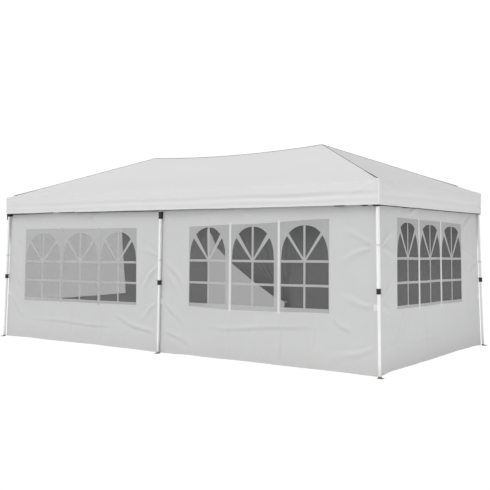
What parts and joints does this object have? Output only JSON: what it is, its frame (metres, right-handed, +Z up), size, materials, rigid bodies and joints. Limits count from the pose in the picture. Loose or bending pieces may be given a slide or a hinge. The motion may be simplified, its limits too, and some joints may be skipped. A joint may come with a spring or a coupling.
{
  "type": "folding marquee tent with window walls",
  "caption": "White 3 by 6 metre folding marquee with hipped canopy, six leaning telescopic legs, clear arched window walls and a zip door swept aside.",
  "frame": {"origin": "on the ground under the middle of the tent", "axes": "+X along the 6 m length towards the end with the window that the picture shows, +Z up; the front long side faces -Y"},
  "size_m": [6.212, 3.212, 2.671],
  "materials": {
    "white_steel": "satin",
    "black_nylon": "matte",
    "roof_cloth": "matte",
    "wall_cloth": "matte",
    "clear_film": "gloss"
  },
  "bodies": {
    "tent": {"front_left_upper_leg": "white_steel", "front_middle_upper_leg": "white_steel", "front_right_upper_leg": "white_steel", "back_left_upper_leg": "white_steel", "back_middle_upper_leg": "white_steel", "back_right_upper_leg": "white_steel", "front_left_leg_lock": "black_nylon", "front_middle_leg_lock": "black_nylon", "front_right_leg_lock": "black_nylon", "back_left_leg_lock": "black_nylon", "back_middle_leg_lock": "black_nylon", "back_right_leg_lock": "black_nylon", "front_left_slider": "black_nylon", "front_middle_slider": "black_nylon", "front_right_slider": "black_nylon", "back_left_slider": "black_nylon", "back_middle_slider": "black_nylon", "back_right_slider": "black_nylon", "front_left_bracket": "black_nylon", "front_middle_bracket": "black_nylon", "front_right_bracket": "black_nylon", "back_left_bracket": "black_nylon", "back_middle_bracket": "black_nylon", "back_right_bracket": "black_nylon", "front_left_truss": "white_steel", "front_right_truss": "white_steel", "back_left_truss": "white_steel", "back_right_truss": "white_steel", "left_end_truss": "white_steel", "right_end_truss": "white_steel", "middle_truss": "white_steel", "left_peak_truss": "white_steel", "right_peak_truss": "white_steel", "left_peak_pole": "white_steel", "right_peak_pole": "white_steel", "canopy_front": "roof_cloth", "canopy_back": "roof_cloth", "canopy_left_end": "roof_cloth", "canopy_right_end": "roof_cloth", "front_left_wall": "wall_cloth", "front_right_wall": "wall_cloth", "right_end_wall": "wall_cloth", "left_end_wall": "wall_cloth", "back_right_wall": "wall_cloth", "back_left_wall_fixed_half": "wall_cloth", "back_left_wall_head": "wall_cloth", "back_left_wall_swept_half": "wall_cloth", "front_left_window_film": "clear_film", "front_right_window_film": "clear_film", "right_end_window_film": "clear_film", "left_end_window_film": "clear_film"},
    "front_left_foot": {"front_left_lower_leg": "white_steel"},
    "front_middle_foot": {"front_middle_lower_leg": "white_steel"},
    "front_right_foot": {"front_right_lower_leg": "white_steel"},
    "back_left_foot": {"back_left_lower_leg": "white_steel"},
    "back_middle_foot": {"back_middle_lower_leg": "white_steel"},
    "back_right_foot": {"back_right_lower_leg": "white_steel"}
  },
  "joints": [
    {"name": "front_left_leg_slide", "type": "slide", "parent": "tent", "child": "front_left_foot", "axis": [0.0305, 0.0305, 0.9991], "range_m": [0, 0.8]},
    {"name": "front_middle_leg_slide", "type": "slide", "parent": "tent", "child": "front_middle_foot", "axis": [0, 0.0305, 0.9995], "range_m": [0, 0.8]},
    {"name": "front_right_leg_slide", "type": "slide", "parent": "tent", "child": "front_right_foot", "axis": [-0.0305, 0.0305, 0.9991], "range_m": [0, 0.8]},
    {"name": "back_left_leg_slide", "type": "slide", "parent": "tent", "child": "back_left_foot", "axis": [0.0305, -0.0305, 0.9991], "range_m": [0, 0.8]},
    {"name": "back_middle_leg_slide", "type": "slide", "parent": "tent", "child": "back_middle_foot", "axis": [0, -0.0305, 0.9995], "range_m": [0, 0.8]},
    {"name": "back_right_leg_slide", "type": "slide", "parent": "tent", "child": "back_right_foot", "axis": [-0.0305, -0.0305, 0.9991], "range_m": [0, 0.8]}
  ]
}
